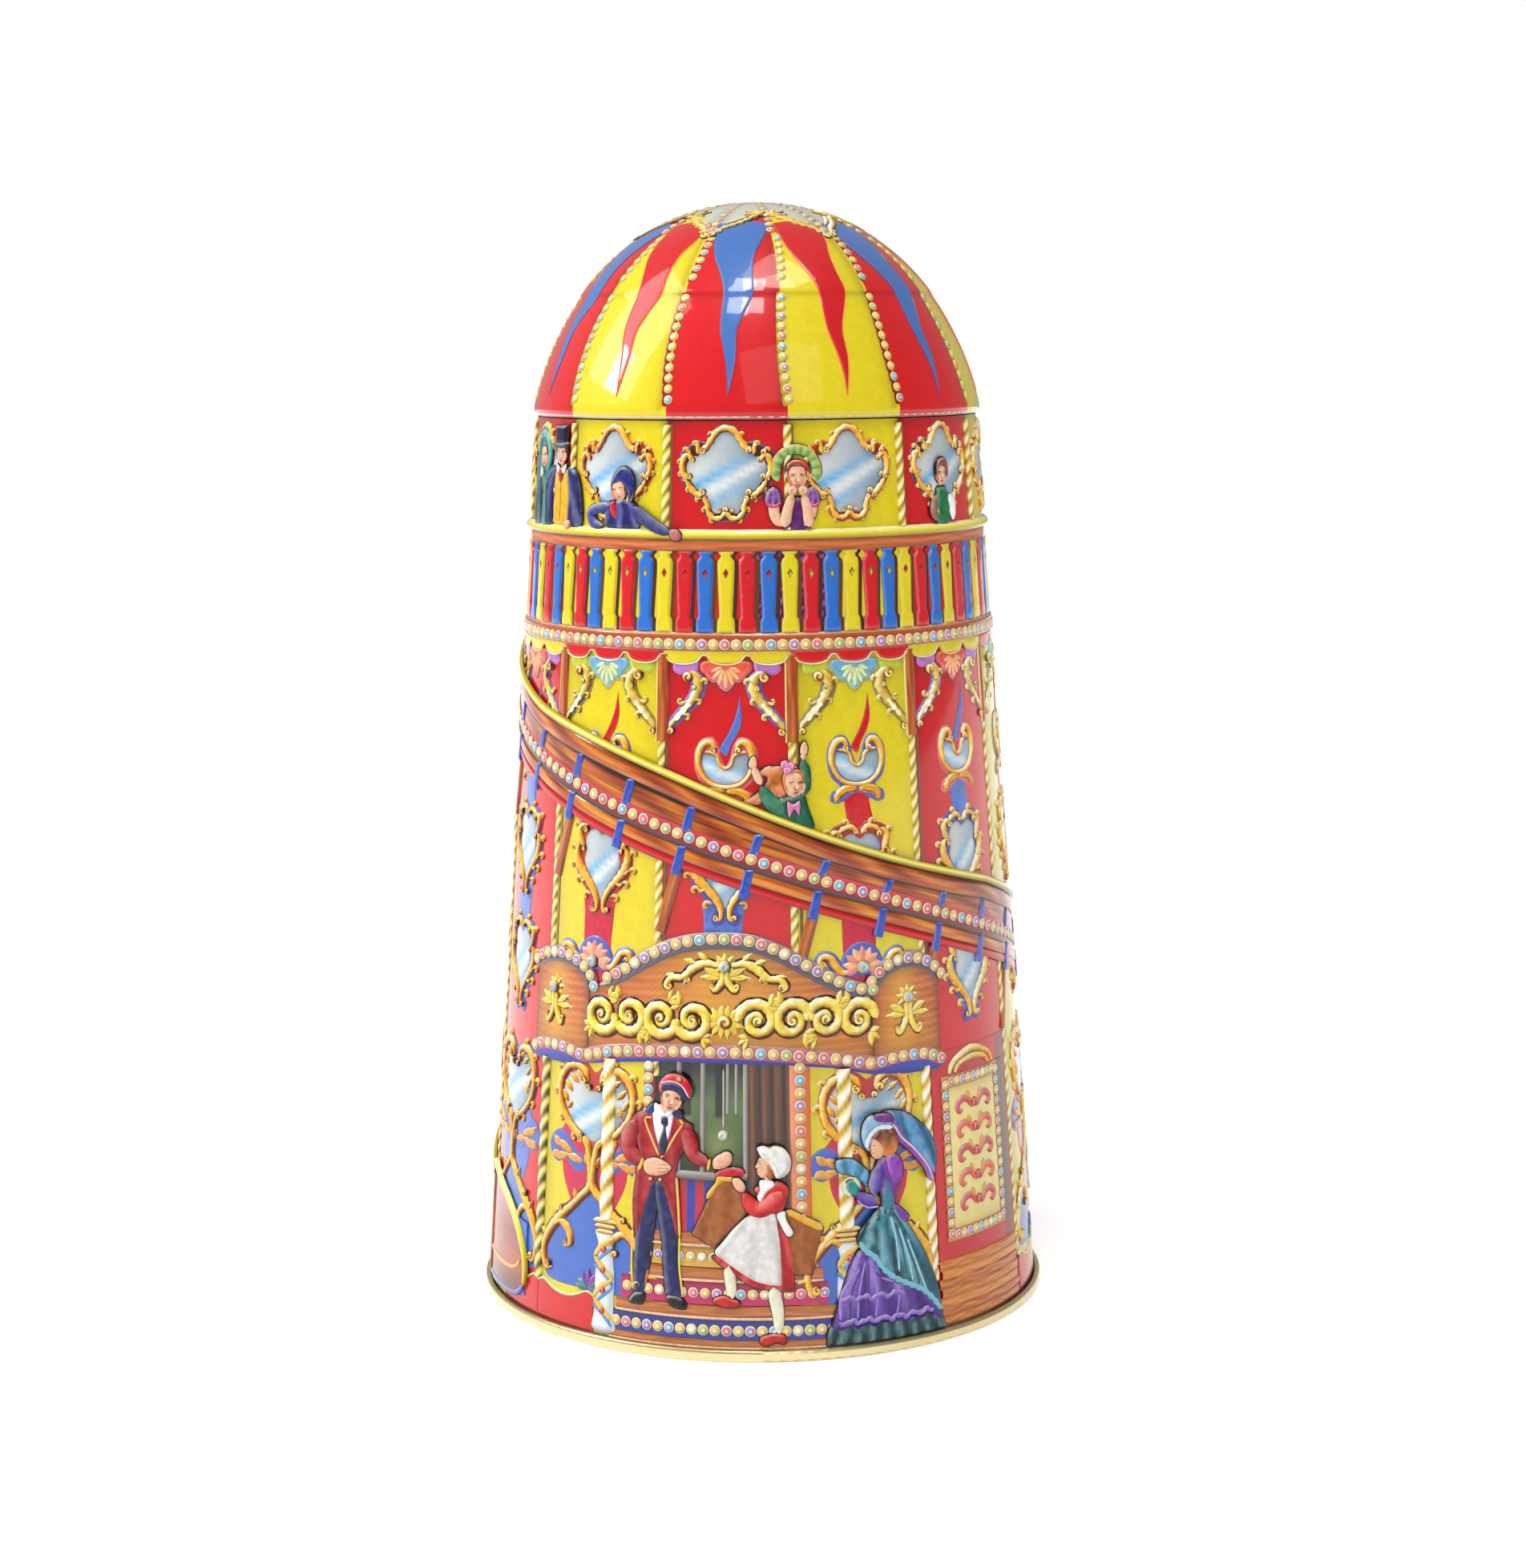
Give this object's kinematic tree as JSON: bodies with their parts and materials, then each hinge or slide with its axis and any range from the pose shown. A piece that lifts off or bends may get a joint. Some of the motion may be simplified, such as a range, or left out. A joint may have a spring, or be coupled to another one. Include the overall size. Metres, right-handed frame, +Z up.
{
  "type": "lidded tin",
  "caption": "Tapered round tin with a domed lift-off lid, an inner neck ring and a seamed base, printed and embossed as a fairground slide tower.",
  "frame": {"origin": "centre of the flat rim the tin stands on", "axes": "+Z up along the tin's axis to the crown of the lid, -Y out of the front of the tower, the side with the doorway, +X to the right seen from the front"},
  "size_m": [0.115, 0.115, 0.2188],
  "materials": {
    "printed_wall": "gloss print under clear varnish on tinplate",
    "printed_lid": "gloss print under clear varnish on tinplate",
    "gold_lacquer": "clear gold lacquer on tinplate"
  },
  "bodies": {
    "tin": {"tower_body": "printed_wall", "base_plate": "gold_lacquer", "neck_ring": "gold_lacquer"},
    "lid": {"dome_lid": "printed_lid"}
  },
  "joints": [
    {"name": "lid_lift", "type": "slide", "parent": "tin", "child": "lid", "axis": [0, 0, 1], "range_m": [0, 0.06]}
  ]
}
